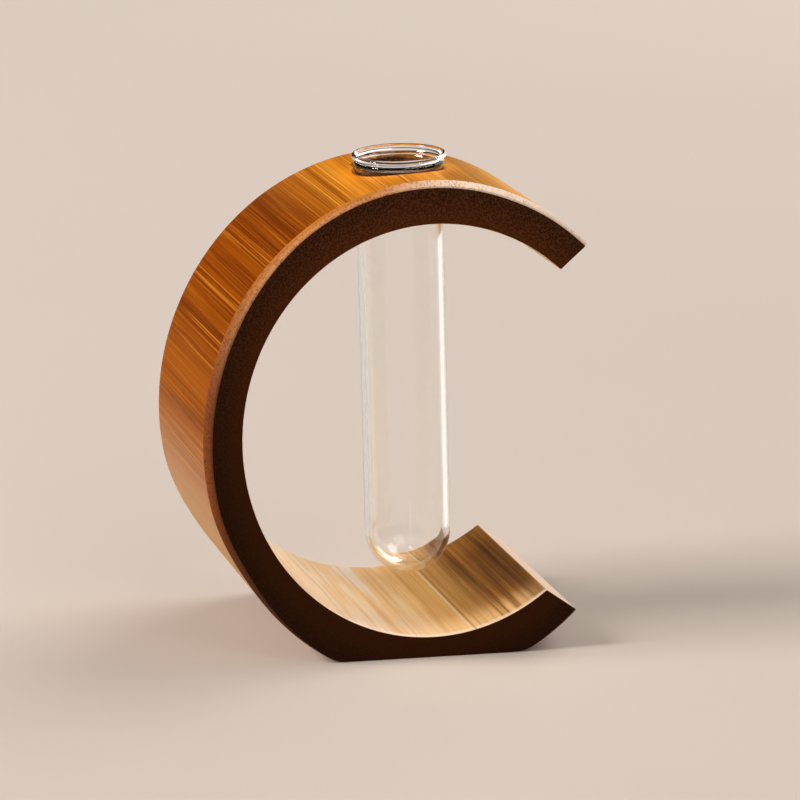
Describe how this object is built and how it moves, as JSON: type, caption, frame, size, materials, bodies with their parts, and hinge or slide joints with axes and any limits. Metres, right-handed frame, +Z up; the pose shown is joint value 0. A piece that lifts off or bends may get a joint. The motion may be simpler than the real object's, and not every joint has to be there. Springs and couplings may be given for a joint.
{
  "type": "test tube vase",
  "caption": "C-shaped bamboo stand with a flat foot that holds a removable round-bottomed glass test tube for a flower stem.",
  "frame": {"origin": "on the standing surface, under the middle of the bamboo culm, half way between its front and back faces", "axes": "+Z up, +X from the culm's axis towards the open mouth of the C, +Y along the bamboo's fibres from the front face to the back face"},
  "size_m": [0.0893, 0.0568, 0.1127],
  "materials": {
    "bamboo": "satin",
    "glass": "clear gloss"
  },
  "bodies": {
    "ring": {"bamboo_ring": "bamboo"},
    "tube": {"test_tube": "glass"}
  },
  "joints": [
    {"name": "tube_lift", "type": "slide", "parent": "ring", "child": "tube", "axis": [-0.0541, 0, 0.9985], "range_m": [0, 0.11]}
  ]
}
